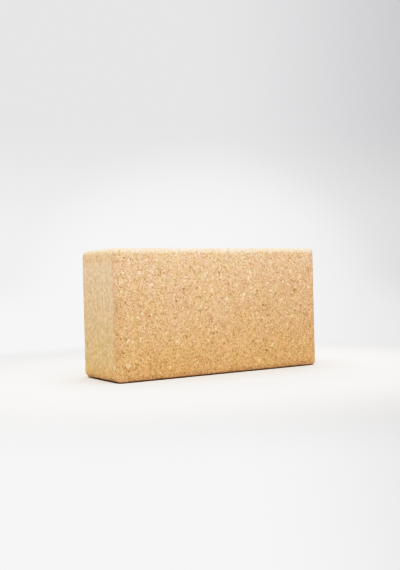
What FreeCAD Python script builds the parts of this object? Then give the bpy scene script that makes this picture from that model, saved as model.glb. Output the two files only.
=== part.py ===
import FreeCAD, Part
import math
import os
import random

# Yoga block of agglomerated cork, standing on one long narrow side.
# Millimetres, +Z up. Origin: middle of the side it stands on.
#   +X runs along the length, +Y through the thickness, +Z up the height.
# Cork granules are mixed with a binder, pressed through the thickness into a
# slab, sawn to size and rounded over on every edge.  The fine granulate and its
# binder set into one mass, the block's core.  The coarse granules that come to
# the surface are separate chips, each seated in its own socket in that mass and
# cut off flush with the face by the saw.

# ---------------------------------------------------------------- dimensions
LENGTH = 227.0          # X, long side
THICKNESS = 75.0        # Y, narrow side, the pressing direction
HEIGHT = 120.0          # Z as it stands
EDGE_RADIUS = 6.0       # round-over on all twelve edges and eight corners

RIM = 0.7               # clear width kept between a chip and the round-over
GAP = 1.1               # least binder left between two neighbouring chips
PRESS = 0.62            # chips are pressed flat: their size along Y on sawn sides
CENTRE_CLEAR = 7.0      # plain patch kept free at the middle of each face
TAPER = 0.68            # chip's inner outline over its outer outline
SEED = 20417

# tone: (share of the chips, smallest and largest half-width, depth per half-width)
TONES = {
    "pale_granules": (0.34, 1.2, 2.6, 0.80),
    "honey_granules": (0.26, 1.2, 2.4, 0.80),
    "rust_granules": (0.21, 1.1, 2.1, 0.85),
    "bark_flecks": (0.19, 0.7, 1.1, 1.00),
}
CHIPS_PER_CM2 = 0.30    # coarse chips that show on a face

# Chips with a set place on the front face: tone, along X, up Z, half-width, stretch, turn in degrees
FRONT_CHIPS = [
    ("pale_granules", -103.4, 15.3, 2.7, 1.20, 75),
    ("rust_granules", -73.5, 26.8, 2.0, 1.10, 10),
    ("bark_flecks", -83.0, 35.5, 0.85, 1.15, 40),
    ("bark_flecks", -70.3, 46.6, 0.95, 1.50, -10),
    ("bark_flecks", -76.2, 60.4, 0.80, 1.25, 20),
    ("bark_flecks", -55.0, 30.2, 0.85, 1.40, -15),
    ("pale_granules", -73.6, 56.2, 1.6, 1.25, -50),
    ("pale_granules", -60.8, 11.3, 1.7, 1.50, 80),
    ("pale_granules", -102.6, 37.7, 1.7, 1.30, 70),
    ("pale_granules", -14.1, 80.4, 1.9, 1.30, 35),
    ("pale_granules", -6.3, 73.6, 1.6, 1.25, 15),
    ("pale_granules", 2.2, 70.2, 1.5, 1.20, -20),
    ("pale_granules", 30.3, 87.1, 1.8, 1.35, -60),
    ("pale_granules", 55.6, 77.6, 2.0, 1.20, 30),
    ("rust_granules", -46.7, 96.1, 1.8, 1.30, -25),
    ("rust_granules", 76.5, 100.1, 1.9, 1.25, 50),
    ("rust_granules", 96.7, 85.6, 1.8, 1.30, 20),
    ("bark_flecks", 64.9, 95.3, 0.90, 1.20, 0),
    ("bark_flecks", 41.7, 22.0, 1.05, 1.35, 65),
    ("rust_granules", -32.1, 110.2, 1.6, 1.20, 10),
    ("bark_flecks", 104.8, 91.6, 0.85, 1.10, 30),
    ("bark_flecks", -105.6, 83.0, 0.85, 1.30, -35),
    ("honey_granules", -88.0, 74.0, 2.1, 1.25, -30),
    ("honey_granules", 20.0, 45.0, 2.1, 1.30, 60),
    ("honey_granules", 82.0, 40.0, 2.0, 1.20, -40),
]

V = FreeCAD.Vector
HL, HT = LENGTH / 2.0, THICKNESS / 2.0
MID = HEIGHT / 2.0

# Each face: middle, in-plane axes u and v with u x v outward, half sizes along
# u and v, and the chips' squeeze along u and v from the pressing.
FACES = {
    "front": (V(0, -HT, MID), V(1, 0, 0), V(0, 0, 1), HL, MID, 1.0, 1.0),
    "back": (V(0, HT, MID), V(-1, 0, 0), V(0, 0, 1), HL, MID, 1.0, 1.0),
    "left_end": (V(-HL, 0, MID), V(0, -1, 0), V(0, 0, 1), HT, MID, PRESS, 1.0),
    "right_end": (V(HL, 0, MID), V(0, 1, 0), V(0, 0, 1), HT, MID, PRESS, 1.0),
    "top": (V(0, 0, HEIGHT), V(1, 0, 0), V(0, 1, 0), HL, HT, 1.0, PRESS),
    "bottom": (V(0, 0, 0), V(1, 0, 0), V(0, -1, 0), HL, HT, 1.0, PRESS),
}


def hull(points):
    """Convex outline of 2-D points, anticlockwise."""
    pts = sorted(points)

    def half(seq):
        out = []
        for p in seq:
            while len(out) > 1 and (
                (out[-1][0] - out[-2][0]) * (p[1] - out[-2][1])
                - (out[-1][1] - out[-2][1]) * (p[0] - out[-2][0])
            ) <= 1e-6:
                out.pop()
            out.append(p)
        return out[:-1]

    return half(pts) + half(pts[::-1])


def chip_outline(rng, half, stretch, turn, su, sv):
    """Angular broken-chip outline about its own middle, in face coordinates."""
    n = rng.choice((6, 7, 7, 8, 9))
    start = rng.uniform(0, 2 * math.pi)
    pts = []
    for i in range(n):
        a = start + 2 * math.pi * (i + rng.uniform(-0.30, 0.30)) / n
        r = half * rng.uniform(0.80, 1.12)
        x, y = r * math.cos(a) * math.sqrt(stretch), r * math.sin(a) / math.sqrt(stretch)
        c, s = math.cos(turn), math.sin(turn)
        pts.append(((x * c - y * s) * su, (x * s + y * c) * sv))
    out = hull(pts)
    # corners closer than a third of a millimetre are one corner
    keep = []
    for p in out:
        if not keep or math.dist(p, keep[-1]) > 0.35:
            keep.append(p)
    if math.dist(keep[0], keep[-1]) <= 0.35:
        keep.pop()
    return keep


def frustum(face, centre, outline, outer, inner, depth_out, depth_in):
    """Solid between two like outlines: outer at depth_out, inner at depth_in below the face."""
    mid, u, v = face[0], face[1], face[2]
    n = u.cross(v)

    def ring(scale, depth):
        base = mid - n * depth
        return [
            base + u * (centre[0] + p[0] * scale) + v * (centre[1] + p[1] * scale)
            for p in outline
        ]

    a, b = ring(outer, depth_out), ring(inner, depth_in)
    k = len(a)
    faces = [
        Part.Face(Part.makePolygon(a + a[:1])),
        Part.Face(Part.makePolygon(b[::-1] + b[-1:])),
    ]
    for i in range(k):
        j = (i + 1) % k
        faces.append(Part.Face(Part.makePolygon([a[i], b[i], b[j], a[j], a[i]])))
    solid = Part.makeSolid(Part.makeShell(faces))
    if solid.Volume < 0:
        solid.reverse()
    return solid


# ------------------------------------------------------- places of the chips
rng = random.Random(SEED)
chips = []   # (face, tone, centre, outline, depth)
for name, face in FACES.items():
    hu, hv, su, sv = face[3:]
    flat_u, flat_v = hu - EDGE_RADIUS - RIM, hv - EDGE_RADIUS - RIM
    taken = []

    def place(tone, centre, half, stretch, turn):
        outline = chip_outline(rng, half, stretch, turn, su, sv)
        if len(outline) < 4:
            return False
        cu = [centre[0] + p[0] for p in outline]
        cv = [centre[1] + p[1] for p in outline]
        if max(map(abs, cu)) > flat_u or max(map(abs, cv)) > flat_v:
            return False
        reach = max(math.hypot(*p) for p in outline)
        if math.hypot(*centre) - reach < CENTRE_CLEAR:
            return False
        for c, r in taken:
            if math.dist(c, centre) < r + reach + GAP:
                return False
        taken.append((centre, reach))
        chips.append((name, tone, centre, outline, max(1.0, half * TONES[tone][3])))
        return True

    if name == "front":
        for tone, x, z, half, stretch, turn in FRONT_CHIPS:
            placed = place(tone, (x, z - MID), half, stretch, math.radians(turn))
            if not placed:
                print("front chip not placed:", tone, x, z)
    wanted = int(round(CHIPS_PER_CM2 * 4.0 * flat_u * flat_v / 100.0))
    tries = 0
    while len(taken) < wanted and tries < 20000:
        tries += 1
        pick, tone = rng.random(), None
        for t, (share, *_rest) in TONES.items():
            if tone is None and pick < share:
                tone = t
            pick -= share
        tone = tone or "pale_granules"
        lo, hi = TONES[tone][1:3]
        place(
            tone,
            (rng.uniform(-flat_u, flat_u), rng.uniform(-flat_v, flat_v)),
            lo + (hi - lo) * rng.random() ** 1.7,
            rng.uniform(1.0, 1.75),
            rng.uniform(0, math.pi),
        )

# --------------------------------------------------------------- the solids
block = Part.makeBox(LENGTH, THICKNESS, HEIGHT, V(-HL, -HT, 0))
block = block.makeFillet(EDGE_RADIUS, block.Edges)

groups = {tone: [] for tone in TONES}
sockets = []
for name, tone, centre, outline, depth in chips:
    face = FACES[name]
    groups[tone].append(frustum(face, centre, outline, 1.0, TAPER, 0.0, depth))
    # the socket runs 1 mm out of the face along the same flanks
    proud = 1.0 + (1.0 - TAPER) / depth
    sockets.append(frustum(face, centre, outline, proud, TAPER, -1.0, depth))

core = block.cut(sockets)
if core.ShapeType != "Solid":
    core = core.Solids[0]

os.makedirs("parts", exist_ok=True)
core.exportStep("parts/block_core.step")
print(
    "block_core", "valid", core.isValid(), "faces", len(core.Faces),
    "volume cm3 %.2f" % (core.Volume / 1000.0),
)
total = core.Volume
for tone, solids in groups.items():
    shape = Part.makeCompound(solids)
    shape.exportStep("parts/%s.step" % tone)
    total += shape.Volume
    print(
        tone, "solids", len(solids), "valid", all(s.isValid() for s in solids),
        "volume cm3 %.3f" % (shape.Volume / 1000.0),
    )
print("core and chips cm3 %.3f, whole block cm3 %.3f" % (total / 1000.0, block.Volume / 1000.0))
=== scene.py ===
import math

import bpy
import numpy as np
from mathutils import Matrix, Vector, noise as mnoise


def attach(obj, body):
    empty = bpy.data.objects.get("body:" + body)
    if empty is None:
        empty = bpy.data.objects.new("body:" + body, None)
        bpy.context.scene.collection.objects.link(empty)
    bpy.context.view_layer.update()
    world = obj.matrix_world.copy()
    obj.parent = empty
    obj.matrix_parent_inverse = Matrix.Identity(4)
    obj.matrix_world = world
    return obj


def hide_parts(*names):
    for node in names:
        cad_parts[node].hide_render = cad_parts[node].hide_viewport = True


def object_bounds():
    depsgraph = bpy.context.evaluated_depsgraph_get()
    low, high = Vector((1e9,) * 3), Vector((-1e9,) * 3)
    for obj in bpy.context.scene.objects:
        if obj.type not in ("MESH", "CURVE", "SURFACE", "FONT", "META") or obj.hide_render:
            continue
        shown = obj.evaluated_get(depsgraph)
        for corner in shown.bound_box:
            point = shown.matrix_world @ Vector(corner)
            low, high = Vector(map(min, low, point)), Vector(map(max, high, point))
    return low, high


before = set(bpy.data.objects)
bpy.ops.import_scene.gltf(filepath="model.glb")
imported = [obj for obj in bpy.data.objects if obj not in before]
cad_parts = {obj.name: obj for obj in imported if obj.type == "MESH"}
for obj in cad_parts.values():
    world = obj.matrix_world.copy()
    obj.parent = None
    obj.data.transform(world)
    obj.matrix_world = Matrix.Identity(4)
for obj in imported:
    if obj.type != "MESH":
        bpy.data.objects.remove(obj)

CAD_LO, CAD_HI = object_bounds()
MM = 0.001

# Block sizes in millimetres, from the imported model's own box.
LENGTH, THICK, HEIGHT = ((CAD_HI - CAD_LO) * 1000.0)[:]
RADIUS = 6.0            # round-over on every edge
EASED = 3.4             # fullness of the right-hand end's upper and lower edges, where 2 is a plain round
PRESS = 0.66            # granules are pressed flat through the thickness
SEED = 4117


def lin(r, g, b):
    """Linear colour from 0-255 display values."""
    def one(c):
        c /= 255.0
        return c / 12.92 if c <= 0.04045 else ((c + 0.055) / 1.055) ** 2.4
    return (one(r), one(g), one(b), 1.0)


# --------------------------------------------------------------------------
# Node wiring
# --------------------------------------------------------------------------
class Wire:
    """Short calls for wiring a node tree. The same calls serve shader and geometry trees."""

    def __init__(self, tree):
        self.tree = tree

    def add(self, kind, **props):
        n = self.tree.nodes.new(kind)
        for k, v in props.items():
            setattr(n, k, v)
        return n

    def put(self, socket, value):
        if isinstance(value, bpy.types.NodeSocket):
            self.tree.links.new(value, socket)
        elif value is not None:
            socket.default_value = value

    def math(self, op, a, b=None, c=None, clamp=False):
        n = self.add("ShaderNodeMath", operation=op, use_clamp=clamp)
        for s, v in zip(n.inputs, (a, b, c)):
            self.put(s, v)
        return n.outputs[0]

    def vec(self, op, a, b=None, scale=None):
        n = self.add("ShaderNodeVectorMath", operation=op)
        self.put(n.inputs[0], a)
        self.put(n.inputs[1], b)
        self.put(n.inputs[3], scale)
        return n.outputs[1] if op in ("LENGTH", "DOT_PRODUCT", "DISTANCE") else n.outputs[0]

    def noise(self, p, scale, detail=2.0, rough=0.5):
        n = self.add("ShaderNodeTexNoise", noise_dimensions="3D")
        self.put(n.inputs["Vector"], p)
        self.put(n.inputs["Scale"], scale)
        self.put(n.inputs["Detail"], detail)
        self.put(n.inputs["Roughness"], rough)
        return n.outputs[0], n.outputs[1]

    def cells(self, p, scale, feature="F1", randomness=1.0):
        n = self.add("ShaderNodeTexVoronoi", voronoi_dimensions="3D", feature=feature)
        self.put(n.inputs["Vector"], p)
        self.put(n.inputs["Scale"], scale)
        self.put(n.inputs["Randomness"], randomness)
        return n

    def xyz(self, v):
        n = self.add("ShaderNodeSeparateXYZ")
        self.put(n.inputs[0], v)
        return n.outputs[0], n.outputs[1], n.outputs[2]

    def ramp(self, fac, stops, interpolation="LINEAR"):
        n = self.add("ShaderNodeValToRGB")
        e = n.color_ramp
        e.interpolation = interpolation
        while len(e.elements) < len(stops):
            e.elements.new(0.5)
        for el, (pos, col) in zip(e.elements, stops):
            el.position = pos
            el.color = col
        self.put(n.inputs[0], fac)
        return n.outputs[0]

    def mixf(self, f, a, b):
        n = self.add("ShaderNodeMix", data_type="FLOAT")
        self.put(n.inputs[0], f)
        self.put(n.inputs[2], a)
        self.put(n.inputs[3], b)
        return n.outputs[0]

    def mixv(self, f, a, b):
        n = self.add("ShaderNodeMix", data_type="VECTOR")
        self.put(n.inputs[0], f)
        self.put(n.inputs[4], a)
        self.put(n.inputs[5], b)
        return n.outputs[1]

    def mixc(self, f, a, b, blend="MIX"):
        n = self.add("ShaderNodeMix", data_type="RGBA", blend_type=blend)
        self.put(n.inputs[0], f)
        self.put(n.inputs[6], a)
        self.put(n.inputs[7], b)
        return n.outputs[2]

    def remap(self, v, a, b, c=0.0, d=1.0, kind="SMOOTHSTEP"):
        n = self.add("ShaderNodeMapRange", interpolation_type=kind, clamp=True)
        for s, x in zip(n.inputs, (v, a, b, c, d)):
            self.put(s, x)
        return n.outputs[0]


# --------------------------------------------------------------------------
# Cork: granules of three sizes packed together, pressed flat through Y
# --------------------------------------------------------------------------
def shade(d, red=0.0, blue=0.0):
    """Cork colour, d display steps lighter than the mean tone, with some red or blue added."""
    r = 227 + 1.55 * max(d, -14) + 1.05 * min(d + 14, 0)
    b = 136 + 1.34 * max(min(d, 0), -36) + 0.85 * min(d + 36, 0) + 1.14 * max(min(d, 16), 0) + 0.90 * max(d - 16, 0)
    return lin(min(254, r + red), min(248, 180.5 + d), max(20, b + blue))


def granules(g, p):
    """From a place in millimetres: three random numbers that belong to the granule there, how far its
    edge is, how proud it stands, whether it is a large one, and the pores between granules."""
    wide = g.vec("SUBTRACT", g.noise(p, 0.55, 2.0, 0.55)[1], (0.5, 0.5, 0.5))
    small = g.vec("SUBTRACT", g.noise(p, 2.4, 1.0)[1], (0.5, 0.5, 0.5))
    q = g.vec("ADD", p, g.vec("SCALE", wide, scale=1.1))
    q = g.vec("ADD", q, g.vec("SCALE", small, scale=0.36))
    q = g.vec("MULTIPLY", q, (1.0, 1.0 / PRESS, 1.0))
    found = []
    for size, shift in ((2.0, 11.0), (1.06, 37.0), (0.69, 71.0)):
        at = g.vec("ADD", q, (shift, -shift, 0.5 * shift))
        colour = g.cells(at, 1.0 / size).outputs["Color"]
        edge = g.cells(at, 1.0 / size, "DISTANCE_TO_EDGE").outputs["Distance"]
        found.append((colour, g.math("MULTIPLY", edge, size)))
    (ca, ea), (cb, eb), (cc, ec) = found
    big = g.math("LESS_THAN", g.xyz(ca)[0], 0.10)
    mid = g.math("LESS_THAN", g.xyz(cb)[0], 0.58)
    rnd = g.mixv(big, g.mixv(mid, cc, cb), ca)
    edge = g.mixf(big, g.mixf(mid, ec, eb), ea)
    _, tone, hue = g.xyz(rnd)
    lift = g.math("FRACT", g.math("MULTIPLY_ADD", tone, 7.31, g.math("MULTIPLY", hue, 3.7)))
    # pores: small round voids left between granules
    pore_cell = g.cells(q, 1.0 / 2.6)
    pick = g.xyz(pore_cell.outputs["Color"])
    hole = g.math("MULTIPLY", pore_cell.outputs["Distance"], 2.6)
    size = g.math("MULTIPLY_ADD", pick[1], 0.38, 0.14)
    pore = g.math("MULTIPLY", g.math("LESS_THAN", pick[0], 0.20),
                  g.remap(hole, g.math("MULTIPLY", size, 1.5), g.math("MULTIPLY", size, 0.5)))
    return {"rnd": rnd, "tone": tone, "hue": hue, "edge": edge, "lift": lift, "big": big, "pore": pore, "q": q}


def sawn(g, p):
    """How far a place lies on a sawn and sanded side: the two ends, and the long narrow sides; and how near to a narrow side."""
    x, y, z = g.xyz(p)
    off_end = g.math("SUBTRACT", LENGTH / 2, g.math("ABSOLUTE", x))
    off_side = g.math("SUBTRACT", HEIGHT / 2, g.math("ABSOLUTE", g.math("SUBTRACT", z, HEIGHT / 2)))
    # at one upright edge of each end the granulate of the broad face comes a little way round onto it
    off_face = g.math("SUBTRACT", THICK / 2, g.math("MULTIPLY", y, g.math("SIGN", x)))
    end = g.math("MULTIPLY", g.remap(off_end, 0.30, 0.02), g.remap(off_face, 5.5, 10.0))
    return end, g.remap(off_side, 0.30, 0.02), g.remap(off_side, 20.0, 6.0)


def narrow_side_shade(g, p):
    """How far a place lies on a long narrow side, fading out over the start of its round-over."""
    off = g.math("SUBTRACT", HEIGHT / 2, g.math("ABSOLUTE", g.math("SUBTRACT", g.xyz(p)[2], HEIGHT / 2)))
    return g.remap(off, 1.4, 0.05)


def rounded(g, p):
    """How far a place lies on the round-over along a long edge."""
    _, y, z = g.xyz(p)
    b = g.math("SUBTRACT", THICK / 2, g.math("ABSOLUTE", y))
    c = g.math("SUBTRACT", HEIGHT / 2, g.math("ABSOLUTE", g.math("SUBTRACT", z, HEIGHT / 2)))
    near = g.math("MAXIMUM", b, c)
    return g.remap(near, RADIUS * 1.02, RADIUS * 0.40)


def surface_height(g, f, p):
    """Fine relief in millimetres."""
    groove = g.remap(f["edge"], 0.0, 0.20, -0.07, 0.0)
    step = g.math("MULTIPLY_ADD", f["lift"], 0.06, -0.06)
    pit = g.math("MULTIPLY", f["pore"], -0.22)
    grit = g.math("MULTIPLY_ADD", g.noise(p, 3.4, 2.0, 0.6)[0], 0.08, -0.06)
    return g.math("ADD", g.math("ADD", groove, step), g.math("ADD", pit, grit))


def cork_finish(g, colour, height, p, rough_lo, rough_hi, sheen):
    """The shader of every cork piece: dull, slightly waxy, fuzzy at grazing light."""
    bsdf = g.add("ShaderNodeBsdfPrincipled")
    g.put(bsdf.inputs["Base Color"], colour)
    g.put(bsdf.inputs["Roughness"], g.remap(g.noise(p, 1.3, 2.0, 0.6)[0], 0.3, 0.7, rough_lo, rough_hi, "LINEAR"))
    bsdf.inputs["IOR"].default_value = 1.45
    bsdf.inputs["Specular IOR Level"].default_value = 0.5
    bsdf.inputs["Sheen Weight"].default_value = sheen
    bsdf.inputs["Sheen Roughness"].default_value = 0.5
    bump = g.add("ShaderNodeBump")
    bump.inputs["Strength"].default_value = 1.0
    bump.inputs["Distance"].default_value = 0.001
    g.put(bump.inputs["Height"], height)
    g.put(bsdf.inputs["Normal"], bump.outputs[0])
    out = g.add("ShaderNodeOutputMaterial")
    g.put(out.inputs["Surface"], bsdf.outputs[0])


def streaks(g, p, rnd):
    """Cell structure inside a granule: fine streaks, turned a different way in each granule."""
    turn = g.add("ShaderNodeVectorRotate", rotation_type="AXIS_ANGLE")
    g.put(turn.inputs["Vector"], p)
    g.put(turn.inputs["Axis"], g.vec("SUBTRACT", rnd, (0.5, 0.5, 0.5)))
    g.put(turn.inputs["Angle"], g.math("MULTIPLY", g.xyz(rnd)[2], 6.283))
    drawn = g.vec("MULTIPLY", turn.outputs[0], (0.55, 0.55, 3.2))
    return g.noise(drawn, 1.4, 2.0, 0.6)[0]


TONE_STOPS = [
    (0.000, shade(-70)), (0.022, shade(-53)), (0.075, shade(-34)), (0.240, shade(-15.5)),
    (0.500, shade(1)), (0.760, shade(15.5)), (0.920, shade(29)), (1.000, shade(43.5)),
]
# sanded grain of the sawn sides: paler and greener than the broad faces
GRAIN_STOPS = [(0.31, shade(-40, -10, -9)), (0.50, shade(5, -10, -9)), (0.69, shade(47, -10, -4))]
SAWN_TINT = (0.995, 1.022, 0.965, 1.0)


def sawn_grain(g, p, colour):
    """Sanding draws the pressed granules of a sawn side into a fine grain along the cut."""
    end, side, end_edge_shade = sawn(g, p)
    drawn = g.noise(g.vec("MULTIPLY", p, (0.50, 0.50, 0.27)), 1.0, 3.0, 0.65)[0]
    along = g.noise(g.vec("MULTIPLY", p, (0.27, 0.50, 0.50)), 1.0, 3.0, 0.65)[0]
    colour = g.mixc(g.math("MULTIPLY", end, 0.54), colour, g.ramp(drawn, GRAIN_STOPS))
    colour = g.mixc(g.math("MULTIPLY", side, 0.45), colour, g.ramp(along, GRAIN_STOPS))
    colour = g.mixc(end, colour, g.mixc(1.0, colour, (1.07, 1.10, 1.265, 1.0), "MULTIPLY"))
    # painted shade: the ends are painted deeper and more golden within about 20 mm of their upper and lower edges
    colour = g.mixc(g.math("MULTIPLY", end, end_edge_shade), colour, g.mixc(1.0, colour, (0.98, 0.918, 0.795, 1.0), "MULTIPLY"))
    # painted shade: the long narrow sides, the top among them, are painted deeper to hold back the strong light that
    # falls on the top from above
    colour = g.mixc(narrow_side_shade(g, p), colour, g.mixc(1.0, colour, (0.80, 0.745, 0.765, 1.0), "MULTIPLY"))
    return g.mixc(g.math("MAXIMUM", end, side), colour, g.mixc(1.0, colour, SAWN_TINT, "MULTIPLY"))


def body_material():
    m = bpy.data.materials.new("cork_granulate")
    m.use_nodes = True
    m.node_tree.nodes.clear()
    g = Wire(m.node_tree)
    p = g.vec("SCALE", g.add("ShaderNodeTexCoord").outputs["Object"], scale=1000.0)
    f = granules(g, p)
    colour = g.ramp(f["tone"], TONE_STOPS)
    # redder and greyer granules
    tint = g.ramp(f["hue"], [
        (0.00, (1.09, 0.94, 0.82, 1.0)), (0.26, (1.01, 0.99, 0.98, 1.0)), (0.52, (1.0, 1.0, 1.0, 1.0)),
        (0.74, (0.97, 1.02, 0.96, 1.0)), (1.00, (0.98, 0.99, 1.12, 1.0))])
    colour = g.mixc(1.0, colour, tint, "MULTIPLY")
    # streaks inside granules
    s = streaks(g, p, f["rnd"])
    colour = g.mixc(1.0, colour, g.ramp(s, [(0.30, (0.93, 0.91, 0.88, 1.0)), (0.62, (1.03, 1.03, 1.03, 1.0))]), "MULTIPLY")
    # binder line round each granule, and pores
    line = g.remap(f["edge"], 0.02, 0.17, 0.42, 0.0)
    colour = g.mixc(line, colour, g.mixc(1.0, colour, (0.74, 0.64, 0.52, 1.0), "MULTIPLY"))
    colour = g.mixc(g.math("MULTIPLY", f["pore"], 0.75), colour, shade(-78))
    colour = sawn_grain(g, p, colour)
    # painted highlight: the long round-overs are painted paler and creamier, standing in for the light from above that
    # catches the top edge; the lower round-overs get it alike
    roundover_highlight = g.math("MULTIPLY", rounded(g, p), g.remap(g.noise(p, 0.35, 2.0, 0.6)[0], 0.3, 0.7, 0.5, 1.0))
    colour = g.mixc(roundover_highlight, colour, g.mixc(1.0, colour, (1.12, 1.18, 1.36, 1.0), "MULTIPLY"))
    # slow change of tone over the block
    cloud = g.noise(p, 0.030, 3.0, 0.55)
    colour = g.mixc(1.0, colour, g.ramp(cloud[0], [
        (0.30, (0.97, 0.95, 0.92, 1.0)), (0.50, (1.0, 1.0, 1.0, 1.0)), (0.70, (1.02, 1.03, 1.04, 1.0))]), "MULTIPLY")
    # patches of pinker and of yellower granulate
    patch = g.noise(p, 0.11, 2.0, 0.5)[0]
    colour = g.mixc(1.0, colour, g.ramp(patch, [
        (0.28, (1.02, 0.98, 1.05, 1.0)), (0.50, (1.0, 1.0, 1.0, 1.0)), (0.72, (0.98, 1.01, 0.93, 1.0))]), "MULTIPLY")
    # painted light: paler and bluer towards the top and more golden towards the bottom, as the light falls from above,
    # a little more golden towards the +X end, with a slow random wander
    x, _, z = g.xyz(p)
    painted_light_drift = g.math("MULTIPLY_ADD", z, 1.0 / HEIGHT, g.math("MULTIPLY", x, -0.07 / LENGTH))
    painted_light_drift = g.math("ADD", painted_light_drift, g.math("MULTIPLY_ADD", g.xyz(cloud[1])[1], 0.5, -0.25))
    colour = g.mixc(1.0, colour, g.ramp(painted_light_drift, [
        (0.0, (0.985, 0.95, 0.71, 1.0)), (0.5, (1.0, 1.0, 1.0, 1.0)), (1.0, (1.02, 1.015, 1.17, 1.0))]), "MULTIPLY")
    cork_finish(g, colour, surface_height(g, f, p), p, 0.70, 0.92, 0.12)
    return m


def chip_material(name, stops, low, high):
    """A coarse granule: its own tone from the mesh, streaked and pored inside, darker at its broken rim."""
    m = bpy.data.materials.new(name)
    m.use_nodes = True
    m.node_tree.nodes.clear()
    g = Wire(m.node_tree)
    p = g.vec("SCALE", g.add("ShaderNodeTexCoord").outputs["Object"], scale=1000.0)
    tone = g.add("ShaderNodeAttribute", attribute_name="tone").outputs["Fac"]
    rim = g.add("ShaderNodeAttribute", attribute_name="rim").outputs["Fac"]
    turn = g.add("ShaderNodeAttribute", attribute_name="turn").outputs["Vector"]
    colour = g.ramp(tone, stops)
    s = streaks(g, p, turn)
    colour = g.mixc(1.0, colour, g.ramp(s, [(0.28, low), (0.64, high)]), "MULTIPLY")
    blot = g.noise(p, 0.8, 3.0, 0.6)[0]
    colour = g.mixc(1.0, colour, g.ramp(blot, [(0.32, (0.94, 0.92, 0.89, 1.0)), (0.62, (1.03, 1.03, 1.03, 1.0))]), "MULTIPLY")
    pore_cell = g.cells(p, 1.0 / 1.1)
    pick = g.xyz(pore_cell.outputs["Color"])
    hole = g.math("MULTIPLY", pore_cell.outputs["Distance"], 1.1)
    size = g.math("MULTIPLY_ADD", pick[1], 0.14, 0.07)
    pore = g.math("MULTIPLY", g.math("LESS_THAN", pick[0], 0.30), g.remap(hole, g.math("MULTIPLY", size, 1.6), g.math("MULTIPLY", size, 0.5)))
    colour = g.mixc(g.math("MULTIPLY", pore, 0.45), colour, shade(-66))
    colour = g.mixc(g.remap(rim, 0.35, 1.0, 0.0, 0.5), colour, g.mixc(1.0, colour, (0.74, 0.64, 0.52, 1.0), "MULTIPLY"))
    colour = sawn_grain(g, p, colour)
    grit = g.math("MULTIPLY", g.noise(p, 2.6, 3.0, 0.6)[0], 0.08)
    height = g.math("ADD", g.math("MULTIPLY", s, 0.05), g.math("MULTIPLY_ADD", pore, -0.15, grit))
    cork_finish(g, colour, height, p, 0.68, 0.90, 0.12)
    return m


# --------------------------------------------------------------------------
# The body: a rounded block as an even quad net, then its granular relief
# --------------------------------------------------------------------------
HALF = np.array([LENGTH / 2, THICK / 2, HEIGHT / 2])
CENTRE = np.array([0.0, 0.0, HEIGHT / 2])
# name: outward axis, sign, u direction, v direction
SIDES = {
    "front": ((1, 0, 0), (0, 0, 1)),
    "back": ((-1, 0, 0), (0, 0, 1)),
    "top": ((1, 0, 0), (0, 1, 0)),
    "bottom": ((1, 0, 0), (0, -1, 0)),
    "left": ((0, -1, 0), (0, 0, 1)),
    "right": ((0, 1, 0), (0, 0, 1)),
}
# lower left corner of each side's chart in the unwrap, in millimetres
CHARTS = {"front": (3, 3), "back": (3, 125), "top": (3, 247), "bottom": (3, 324), "left": (232, 3), "right": (232, 125)}
SHEET = 400.0


def lines(flat, step, corner):
    """Net lines across one side: offset from the middle and the turn over the round-over, even along the surface."""
    n = int(round(flat / step))
    t = np.concatenate([
        np.linspace(-math.pi / 4, 0, corner + 1)[:-1],
        np.zeros(n + 1),
        np.linspace(0, math.pi / 4, corner + 1)[1:]])
    o = np.concatenate([np.full(corner, -flat / 2), np.linspace(-flat / 2, flat / 2, n + 1), np.full(corner, flat / 2)])
    return o, t


def rounded_block(step=1.08, corner=5):
    verts, quads, uvs, index = [], [], [], {}
    for name, (u, v) in SIDES.items():
        u, v = np.array(u, float), np.array(v, float)
        n = np.cross(u, v)
        hu, hv, hn = np.abs(u) @ HALF, np.abs(v) @ HALF, np.abs(n) @ HALF
        ou, tu = lines(2 * (hu - RADIUS), step, corner)
        ov, tv = lines(2 * (hv - RADIUS), step, corner)
        ids = np.zeros((len(ou), len(ov)), int)
        for i in range(len(ou)):
            for j in range(len(ov)):
                d = np.tan(tu[i]) * u + np.tan(tv[j]) * v + n
                at = CENTRE + ou[i] * u + ov[j] * v + (hn - RADIUS) * n + RADIUS * d / np.linalg.norm(d)
                key = tuple(np.round(at, 4))
                if key not in index:
                    index[key] = len(verts)
                    verts.append(at)
                ids[i, j] = index[key]
        cu, cv = CHARTS[name]
        au = cu + ou + RADIUS * tu + (hu - RADIUS) + RADIUS * math.pi / 4
        av = cv + ov + RADIUS * tv + (hv - RADIUS) + RADIUS * math.pi / 4
        for i in range(len(ou) - 1):
            for j in range(len(ov) - 1):
                quads.append((ids[i, j], ids[i + 1, j], ids[i + 1, j + 1], ids[i, j + 1]))
                uvs += [(au[i], av[j]), (au[i + 1], av[j]), (au[i + 1], av[j + 1]), (au[i], av[j + 1])]
    # the upper and lower edges of the right-hand end are eased less than the others
    verts = np.array(verts)
    over = np.abs(verts - CENTRE) - (HALF - RADIUS)
    at = np.flatnonzero((over[:, 0] > 1e-6) & (over[:, 2] > 1e-6) & (verts[:, 0] > 0.0))
    a, c = over[at, 0], over[at, 2]
    fuller = np.hypot(a, c) / (a ** EASED + c ** EASED) ** (1.0 / EASED) - 1.0
    way = np.sign(verts[at] - CENTRE)
    verts[at, 0] += way[:, 0] * a * fuller
    verts[at, 2] += way[:, 2] * c * fuller
    return verts, quads, np.array(uvs) / SHEET


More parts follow.
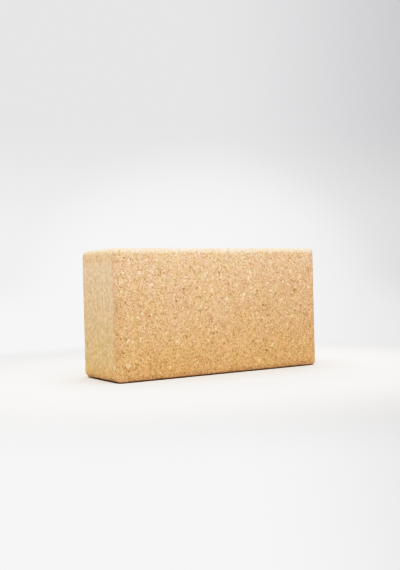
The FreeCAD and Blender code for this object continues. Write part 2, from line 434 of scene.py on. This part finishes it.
def relief_tree():
    """Geometry nodes that push each point of the net in by the cork's own relief."""
    t = bpy.data.node_groups.new("cork_relief", "GeometryNodeTree")
    t.interface.new_socket("Geometry", in_out="INPUT", socket_type="NodeSocketGeometry")
    t.interface.new_socket("Geometry", in_out="OUTPUT", socket_type="NodeSocketGeometry")
    g = Wire(t)
    p = g.vec("SCALE", g.add("GeometryNodeInputPosition").outputs[0], scale=1000.0)
    f = granules(g, p)
    proud = g.math("MULTIPLY", f["big"], g.math("MULTIPLY_ADD", f["lift"], 0.16, -0.11))
    grit = g.math("MULTIPLY_ADD", g.noise(p, 0.42, 2.0, 0.6)[0], 0.22, -0.17)
    h = g.math("MINIMUM", g.math("ADD", proud, grit), -0.005)
    # shallow hollows where a granule has broken out of the surface
    scar = g.cells(p, 1.0 / 13.0)
    pick = g.xyz(scar.outputs["Color"])
    far = g.math("MULTIPLY", scar.outputs["Distance"], 13.0)
    size = g.math("MULTIPLY_ADD", pick[1], 0.7, 0.8)
    dip = g.math("MULTIPLY", g.math("LESS_THAN", pick[0], 0.30), g.remap(far, g.math("MULTIPLY", size, 1.5), g.math("MULTIPLY", size, 0.4)))
    h = g.math("ADD", h, g.math("MULTIPLY", dip, -0.32))
    push = g.vec("SCALE", g.add("GeometryNodeInputNormal").outputs[0], scale=g.math("MULTIPLY", h, 0.001))
    move = g.add("GeometryNodeSetPosition")
    gin, gout = g.add("NodeGroupInput"), g.add("NodeGroupOutput")
    g.put(move.inputs["Geometry"], gin.outputs[0])
    g.put(move.inputs["Offset"], push)
    g.put(gout.inputs[0], move.outputs[0])
    return t


# --------------------------------------------------------------------------
# The coarse granules: read from the CAD solids, rebuilt as broken chips
# --------------------------------------------------------------------------
def chips_of(node):
    """(side, outline in the side's u and v) of each solid in a CAD node."""
    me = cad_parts[node].data
    co = np.zeros(len(me.vertices) * 3)
    me.vertices.foreach_get("co", co)
    co = co.reshape(-1, 3) * 1000.0
    spots, inv = np.unique(np.round(co, 3), axis=0, return_inverse=True)
    inv = inv.ravel()
    root = list(range(len(spots)))

    def find(a):
        while root[a] != a:
            root[a] = root[root[a]]
            a = root[a]
        return a

    for poly in me.polygons:
        vs = [inv[i] for i in poly.vertices]
        for k in vs[1:]:
            root[find(vs[0])] = find(k)
    groups = {}
    for i in range(len(spots)):
        groups.setdefault(find(i), []).append(i)
    out = []
    for members in groups.values():
        pts = spots[members] - CENTRE
        for name, (u, v) in SIDES.items():
            u, v = np.array(u, float), np.array(v, float)
            n = np.cross(u, v)
            on = np.abs(pts @ n - np.abs(n) @ HALF) < 0.01
            if on.sum() >= 4:
                flat = np.stack([pts[on] @ u, pts[on] @ v], 1)
                mid = flat.mean(0)
                order = np.argsort(np.arctan2(*(flat - mid).T[::-1]))
                out.append((name, flat[order]))
                break
    out.sort(key=lambda c: (c[0], round(float(c[1][0, 0]), 2), round(float(c[1][0, 1]), 2)))
    return out


def chip_mesh(name, chips, seed):
    """All chips of one tone as one mesh of separate closed lumps, flush with the sawn faces."""
    rng = np.random.default_rng(seed)
    verts, faces, uvs, tone, rim, turn = [], [], [], [], [], []
    grid = int(math.ceil(math.sqrt(len(chips))))
    for count, (side, outline) in enumerate(chips):
        u, v = (np.array(a, float) for a in SIDES[side])
        n = np.cross(u, v)
        hn = np.abs(n) @ HALF
        mid = outline.mean(0)
        # outline at about 0.4 mm steps, nibbled inwards
        ring = []
        for a, b in zip(outline, np.roll(outline, -1, 0)):
            k = max(2, int(round(np.linalg.norm(b - a) / 0.42)))
            ring += [a + (b - a) * i / k for i in range(k)]
        ring = np.array(ring) - mid
        k = len(ring)
        around = np.arange(k) / k * 2 * math.pi
        bite = sum(rng.uniform(0.2, 1.0) * np.sin(around * w + rng.uniform(0, 6.283)) for w in (3, 5, 8, 13)) / 4
        reach = np.linalg.norm(ring, axis=1)
        ring = ring * (1.0 - (0.11 + 0.13 * bite)[:, None] * (1.2 / np.maximum(reach, 1.2))[:, None])
        # round the corners a little
        for _ in range(2):
            ring = 0.5 * ring + 0.25 * (np.roll(ring, 1, 0) + np.roll(ring, -1, 0))
        reach = np.linalg.norm(ring, axis=1).max()
        inset = 1.0 - 0.20 / np.linalg.norm(ring, axis=1).mean()
        base = len(verts)
        # scale, depth, rim value, unwrap scale
        steps = [(0.78, -1.30, 1.0, 1.22), (0.98, -0.60, 1.0, 1.12), (1.0, -0.20, 0.9, 1.0),
                 (inset, -0.07, 0.45, inset), (inset * 0.82, -0.04, 0.1, inset * 0.82),
                 (inset * 0.55, -0.04, 0.0, inset * 0.55), (inset * 0.27, -0.04, 0.0, inset * 0.27)]
        value, spin = rng.uniform(0, 1), rng.uniform(0, 1, 3)
        place = []
        for s, depth, r, us in steps:
            for q in ring:
                xy = mid + q * s
                lift = depth
                if depth > -0.3:
                    at = Vector((xy[0] * 0.55, xy[1] * 0.55, count * 3.1))
                    lift = min(-0.01, depth + 0.05 * mnoise.noise(at) + 0.03 * mnoise.noise(at * 2.7))
                verts.append((CENTRE + xy[0] * u + xy[1] * v + (hn + lift) * n) * MM)
                place.append(q * us / (reach * 1.24))
                rim.append(r)
        for s, depth, r in ((0.0, -0.04, 0.0), (0.0, -1.30, 1.0)):
            verts.append((CENTRE + mid[0] * u + mid[1] * v + (hn + depth) * n) * MM)
            place.append(np.zeros(2))
            rim.append(r)
        size = len(steps) * k + 2
        tone += [value] * size
        turn += [spin] * size
        cell = np.array([count % grid + 0.5, count // grid + 0.5])
        flat_uv = (cell + np.array(place) * 0.47) / grid

        def face(*ids):
            faces.append(tuple(base + i for i in ids))
            uvs.extend(flat_uv[i] for i in ids)

        for s in range(len(steps) - 1):
            for i in range(k):
                j = (i + 1) % k
                face(s * k + i, s * k + j, (s + 1) * k + j, (s + 1) * k + i)
        top = (len(steps) - 1) * k
        for i in range(k):
            j = (i + 1) % k
            face(top + i, top + j, size - 2)
            # underside, out of sight in its socket
            faces.append((base + j, base + i, base + size - 1))
            uvs.extend((flat_uv[j], flat_uv[i], flat_uv[i]))
    me = bpy.data.meshes.new(name)
    me.from_pydata([tuple(x) for x in verts], [], faces)
    me.uv_layers.new(name="OFBake").data.foreach_set("uv", np.array(uvs, np.float32).ravel())
    for key, vals in (("tone", tone), ("rim", rim)):
        me.attributes.new(key, "FLOAT", "POINT").data.foreach_set("value", np.array(vals, np.float32))
    me.attributes.new("turn", "FLOAT_VECTOR", "POINT").data.foreach_set("vector", np.array(turn, np.float32).ravel())
    me.shade_smooth()
    return me


def inside(points, outline, grow):
    """Which 2-D points lie within a convex outline grown by some millimetres."""
    ok = np.ones(len(points), bool)
    for a, b in zip(outline, np.roll(outline, -1, 0)):
        e = (b - a) / np.linalg.norm(b - a)
        ok &= (points - a) @ np.array([-e[1], e[0]]) > -grow
    return ok


def put(obj, slot, *nodes):
    bpy.context.scene.collection.objects.link(obj)
    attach(obj, "root")
    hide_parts(*nodes)
    return obj


CHIPS = {
    # node: piece, slot, tones from low to high, streak colours
    "pale_granules": ("pale_chips", "pale_cork",
                      [(0.0, shade(14, -7, -2)), (0.5, shade(22, -7, 0)), (1.0, shade(32, -8, 4))],
                      (0.93, 0.91, 0.87, 1.0), (1.02, 1.02, 1.02, 1.0)),
    "honey_granules": ("honey_chips", "honey_cork",
                       [(0.0, shade(-6, 0, -8)), (0.5, shade(2, 0, -8)), (1.0, shade(10, 0, -6))],
                       (0.92, 0.90, 0.86, 1.0), (1.03, 1.03, 1.03, 1.0)),
    "rust_granules": ("rust_chips", "rust_cork",
                      [(0.0, shade(-26, 8, -4)), (0.5, shade(-16, 14, 0)), (1.0, shade(-4, 14, 8))],
                      (0.90, 0.87, 0.83, 1.0), (1.04, 1.03, 1.03, 1.0)),
    "bark_flecks": ("bark_chips", "cork_bark",
                    [(0.0, shade(-74)), (0.5, shade(-60)), (1.0, shade(-44))],
                    (0.86, 0.83, 0.80, 1.0), (1.08, 1.06, 1.04, 1.0)),
}
found = {node: chips_of(node) for node in CHIPS}

verts, quads, uvs = rounded_block()
net = bpy.data.meshes.new("cork_block_net")
net.from_pydata([tuple(x) for x in verts * MM], [], quads)
net.uv_layers.new(name="OFBake").data.foreach_set("uv", uvs.astype(np.float32).ravel())
net.shade_smooth()
raw = bpy.data.objects.new("cork_block_net", net)
bpy.context.scene.collection.objects.link(raw)
raw.modifiers.new("relief", "NODES").node_group = relief_tree()
bpy.context.view_layer.update()
body_mesh = bpy.data.meshes.new_from_object(raw.evaluated_get(bpy.context.evaluated_depsgraph_get()))
body_mesh.name = "cork_block"
bpy.data.objects.remove(raw)
bpy.data.meshes.remove(net)

# under each coarse granule the body's surface drops into its socket
co = np.zeros(len(body_mesh.vertices) * 3)
body_mesh.vertices.foreach_get("co", co)
co = co.reshape(-1, 3) * 1000.0
for node, chips in found.items():
    for side, outline in chips:
        u, v = (np.array(a, float) for a in SIDES[side])
        n = np.cross(u, v)
        hn = np.abs(n) @ HALF
        rel = co - CENTRE
        near = rel @ n > hn - 1.5
        flat = np.stack([rel[near] @ u, rel[near] @ v], 1)
        hit = np.flatnonzero(near)[inside(flat, outline, -0.15)]
        depth = rel[hit] @ n - hn
        co[hit] += np.outer(np.minimum(0.0, -0.42 - depth), n)
body_mesh.vertices.foreach_set("co", (co * MM).astype(np.float32).ravel())
body_mesh.update()
body_mesh.shade_smooth()

body = bpy.data.objects.new("cork_block", body_mesh)
body_mesh.materials.clear()
body_mesh.materials.append(body_material())
put(body, "core_cork", "block_core")

for k, (node, (piece, slot, stops, low, high)) in enumerate(CHIPS.items()):
    me = chip_mesh(piece, found[node], SEED + k)
    me.materials.append(chip_material(piece, stops, low, high))
    put(bpy.data.objects.new(piece, me), slot, node)


# --------------------------------------------------------------------------
# Stage: pale seamless floor and backdrop, soft light from above and round about
# --------------------------------------------------------------------------
def floor_material():
    m = bpy.data.materials.new("studio_floor")
    m.use_nodes = True
    m.node_tree.nodes.clear()
    g = Wire(m.node_tree)
    p = g.add("ShaderNodeTexCoord").outputs["Object"]
    far = g.vec("LENGTH", g.vec("MULTIPLY", p, (1.0, 1.0, 0.0)))
    pale = g.ramp(g.noise(p, 6.0, 3.0)[0], [(0.3, FLOOR_LO), (0.7, FLOOR_HI)])
    # painted shadow: the floor is painted darker close round the block, and painted near-black where the block stands,
    # a little out past its edges; at two of its corners this painted patch draws back, as if light came in under them
    x, y, _ = g.xyz(p)
    bend = g.mixf(g.math("LESS_THAN", g.math("MULTIPLY", x, y), 0.0), RADIUS * MM, 18.0 * MM)
    corner = g.add("ShaderNodeCombineXYZ")
    g.put(corner.inputs[0], bend)
    g.put(corner.inputs[1], bend)
    off = g.vec("SUBTRACT", g.vec("ABSOLUTE", p), (LENGTH / 2 * MM, THICK / 2 * MM, 0.0))
    off = g.vec("ADD", off, corner.outputs[0])
    across = g.xyz(off)
    within = g.math("MINIMUM", g.math("MAXIMUM", across[0], across[1]), 0.0)
    beyond = g.vec("LENGTH", g.vec("MAXIMUM", off, (0.0, 0.0, 0.0)))
    under = g.math("SUBTRACT", g.math("ADD", within, beyond), bend)
    # painted soft shadow: the floor darker within about 75 mm of the block
    pale = g.mixc(g.remap(under, 0.075, 0.006), pale, g.mixc(1.0, pale, (0.85, 0.83, 0.81, 1.0), "MULTIPLY"))
    bsdf = g.add("ShaderNodeBsdfDiffuse")
    # painted contact shadow: near-black under the block's edges and a little out past them
    g.put(bsdf.inputs["Color"], g.mixc(g.remap(under, 0.0008, -0.0044), pale, (0.035, 0.022, 0.011, 1.0)))
    gone = g.add("ShaderNodeBsdfTransparent")
    mix = g.add("ShaderNodeMixShader")
    g.put(mix.inputs[0], g.remap(far, 0.17, 0.42))
    g.put(mix.inputs[1], bsdf.outputs[0])
    g.put(mix.inputs[2], gone.outputs[0])
    out = g.add("ShaderNodeOutputMaterial")
    g.put(out.inputs["Surface"], mix.outputs[0])
    return m


def paper_white(level):
    """Scene colour that shows as this display level through the photograph's shoulder, set below."""
    v = lin(level, level, level)[0]
    v = v if v < 0.55 else 0.55 - 0.45 * math.log(1.0 - (v - 0.55) / 0.45)
    return (v, v, v, 1.0)


def dome_material():
    """Glowing backdrop paper with painted shade: a little greyer high up, away to one side and towards its upper
    corners.
    """
    m = bpy.data.materials.new("studio_paper")
    m.use_nodes = True
    m.node_tree.nodes.clear()
    g = Wire(m.node_tree)
    n = g.vec("NORMALIZE", g.add("ShaderNodeTexCoord").outputs["Object"])
    aside = g.vec("DOT_PRODUCT", n, (0.853, -0.522, 0.10))
    tone = g.remap(aside, 0.02, 0.42, 0.0, 1.0)
    glow = g.add("ShaderNodeEmission")
    tint = g.ramp(tone, [(0.0, paper_white(246)), (1.0, paper_white(224))])
    high = g.remap(g.xyz(n)[2], 0.06, 0.22)
    tint = g.mixc(high, tint, g.mixc(1.0, tint, (0.80, 0.80, 0.81, 1.0), "MULTIPLY"))
    corner = g.remap(g.vec("DOT_PRODUCT", n, (0.533, 0.843, -0.074)), 0.9833, 0.960)
    corner = g.math("MULTIPLY", corner, g.remap(g.xyz(n)[2], -0.04, 0.02))
    g.put(glow.inputs["Color"], g.mixc(corner, tint, g.mixc(1.0, tint, (0.85, 0.85, 0.86, 1.0), "MULTIPLY")))
    out = g.add("ShaderNodeOutputMaterial")
    g.put(out.inputs["Surface"], glow.outputs[0])
    m.cycles.emission_sampling = "NONE"
    return m


def disc(name, radius, rings=24, spokes=96):
    vs, fs = [(0.0, 0.0, 0.0)], []
    for r in range(1, rings + 1):
        rr = radius * (r / rings) ** 2
        vs += [(rr * math.cos(a), rr * math.sin(a), 0.0) for a in np.linspace(0, 2 * math.pi, spokes, endpoint=False)]
    for s in range(spokes):
        t = (s + 1) % spokes
        fs.append((0, 1 + s, 1 + t))
        for r in range(rings - 1):
            a, b = 1 + r * spokes, 1 + (r + 1) * spokes
            fs.append((a + s, b + s, b + t, a + t))
    me = bpy.data.meshes.new(name)
    me.from_pydata(vs, [], fs)
    return me


def ball(name, radius, rings=32, spokes=64):
    vs, fs = [(0.0, 0.0, radius), (0.0, 0.0, -radius)], []
    for r in range(1, rings):
        h, w = radius * math.cos(math.pi * r / rings), radius * math.sin(math.pi * r / rings)
        vs += [(w * math.cos(a), w * math.sin(a), h) for a in np.linspace(0, 2 * math.pi, spokes, endpoint=False)]
    for s in range(spokes):
        t = (s + 1) % spokes
        fs.append((0, 2 + t, 2 + s))
        fs.append((1, 2 + (rings - 2) * spokes + s, 2 + (rings - 2) * spokes + t))
        for r in range(rings - 2):
            a, b = 2 + r * spokes, 2 + (r + 1) * spokes
            fs.append((a + s, a + t, b + t, b + s))
    me = bpy.data.meshes.new(name)
    me.from_pydata(vs, [], fs)
    return me


FLOOR_LO, FLOOR_HI = (0.825, 0.812, 0.775, 1.0), (0.835, 0.822, 0.785, 1.0)
floor_mesh = disc("studio_floor", 3.0)
floor_mesh.materials.append(floor_material())
floor = bpy.data.objects.new("studio_floor", floor_mesh)
bpy.context.scene.collection.objects.link(floor)

# the paper is only the picture's background: the lights below do the lighting
paper_mesh = ball("studio_paper", 8.0)
paper_mesh.materials.append(dome_material())
paper = bpy.data.objects.new("studio_paper", paper_mesh)
bpy.context.scene.collection.objects.link(paper)
for kind in ("diffuse", "glossy", "transmission", "volume_scatter", "shadow"):
    setattr(paper, "visible_" + kind, False)


def softbox(name, at, aim, size_x, size_y, power, colour):
    light = bpy.data.lights.new(name, "AREA")
    light.shape = "RECTANGLE"
    light.size, light.size_y = size_x, size_y
    light.energy = power
    light.color = colour
    o = bpy.data.objects.new(name, light)
    o.location = at
    o.rotation_mode = "QUATERNION"
    o.rotation_quaternion = (Vector(aim) - Vector(at)).to_track_quat("-Z", "Y")
    o.visible_camera = False
    bpy.context.scene.collection.objects.link(o)
    return o


# the same soft light over each pair of opposite sides, so every side of the block is lit alike
for end, way in (("a", -1.0), ("b", 1.0)):
    softbox("long_" + end, (way * 0.05, way * 0.157, 0.287), (way * 0.05, way * 0.0375, 0.06), 0.50, 0.10, 1.355, (1.0, 0.97, 0.98))
    softbox("ends_" + end, (way * 0.2715, 0.0, 0.287), (way * 0.1135, 0.0, 0.06), 0.30, 0.10, 0.53, (1.0, 0.99, 0.96))

world = bpy.data.worlds.new("studio")
bpy.context.scene.world = world
world.use_nodes = True
world.node_tree.nodes.clear()
g = Wire(world.node_tree)
back = g.add("ShaderNodeBackground")
back.inputs["Color"].default_value = (1.0, 1.0, 1.0, 1.0)
back.inputs["Strength"].default_value = 0.154
wout = g.add("ShaderNodeOutputWorld")
g.put(wout.inputs["Surface"], back.outputs[0])

# a photograph's response: a little contrast in the shade, straight in the middle, easing into white
scene = bpy.context.scene
scene.view_settings.view_transform = "Standard"
scene.view_settings.look = "None"
scene.view_settings.use_curve_mapping = True
shoulder = scene.view_settings.curve_mapping
shoulder.white_level = (4.0, 4.0, 4.0)
line = shoulder.curves[3].points
for x, y in ((0.05, 0.036), (0.10, 0.080), (0.16, 0.140), (0.22, 0.203), (0.30, 0.289), (0.40, 0.395)):
    line.new(x / 4.0, y)
for x in (0.55, 0.65, 0.75, 0.85, 1.0, 1.15, 1.35, 1.6, 1.9, 2.4, 3.0):
    line.new(x / 4.0, 0.55 + 0.45 * (1.0 - math.exp(-(x - 0.55) / 0.45)))
for point in line:
    point.handle_type = "VECTOR"
shoulder.update()

# --------------------------------------------------------------------------
# Camera: low, a third of a turn round to the left, level
# --------------------------------------------------------------------------
AZ, EL, ROLL = math.radians(-32.33), math.radians(0.35), math.radians(-1.39)
DIST, FOCAL = 0.7980, 809.1
TARGET = Vector((-0.00307, 0.0, 0.08473))
back_dir = Vector((math.sin(AZ) * math.cos(EL), -math.cos(AZ) * math.cos(EL), math.sin(EL)))
right = (-back_dir).cross(Vector((0, 0, 1))).normalized()
upward = right.cross(-back_dir)
r2 = math.cos(ROLL) * right + math.sin(ROLL) * upward
u2 = -math.sin(ROLL) * right + math.cos(ROLL) * upward
cam_data = bpy.data.cameras.new("camera")
cam_data.sensor_width = 36.0
cam_data.lens = FOCAL * 36.0 / 570.0
cam_data.clip_start, cam_data.clip_end = 0.02, 60.0
cam_data.dof.use_dof = False
cam = bpy.data.objects.new("camera", cam_data)
turn = Matrix((r2, u2, back_dir)).transposed().to_4x4()
cam.matrix_world = Matrix.Translation(TARGET + back_dir * DIST) @ turn
scene.collection.objects.link(cam)
scene.camera = cam
